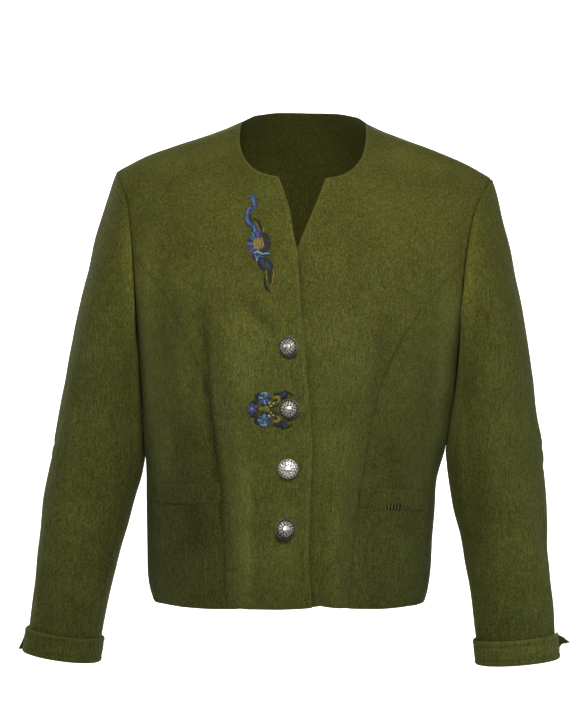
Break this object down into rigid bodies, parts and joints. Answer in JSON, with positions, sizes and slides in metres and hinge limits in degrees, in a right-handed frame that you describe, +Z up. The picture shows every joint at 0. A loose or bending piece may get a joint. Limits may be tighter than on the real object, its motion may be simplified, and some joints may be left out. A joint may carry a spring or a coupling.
{
  "type": "tyrolean loden jacket",
  "caption": "Short collarless loden jacket in its worn shape, with princess seams, a notched V neckline, turned-up cuffs and domed metal buttons.",
  "frame": {"origin": "where the wearer carries it: between the shoulders, level with the inner ends of the shoulder seams", "axes": "+Z up, -Y the way the wearer faces, +X towards the wearer's left"},
  "size_m": [0.6477, 0.2592, 0.6621],
  "materials": {
    "loden": "felted wool with a soft nap",
    "antique_silver": "worn silver plating, dark in the hollows"
  },
  "bodies": {
    "root": {"back": "loden", "left_cuff": "loden", "left_front": "loden", "left_pocket_welt": "loden", "left_side_front": "loden", "left_sleeve_head": "loden", "left_under_sleeve": "loden", "left_upper_sleeve": "loden", "right_cuff": "loden", "right_front": "loden", "right_pocket_welt": "loden", "right_side_front": "loden", "right_sleeve_head": "loden", "right_under_sleeve": "loden", "right_upper_sleeve": "loden", "button_1": "antique_silver", "button_2": "antique_silver", "button_3": "antique_silver", "button_4": "antique_silver"}
  },
  "joints": []
}
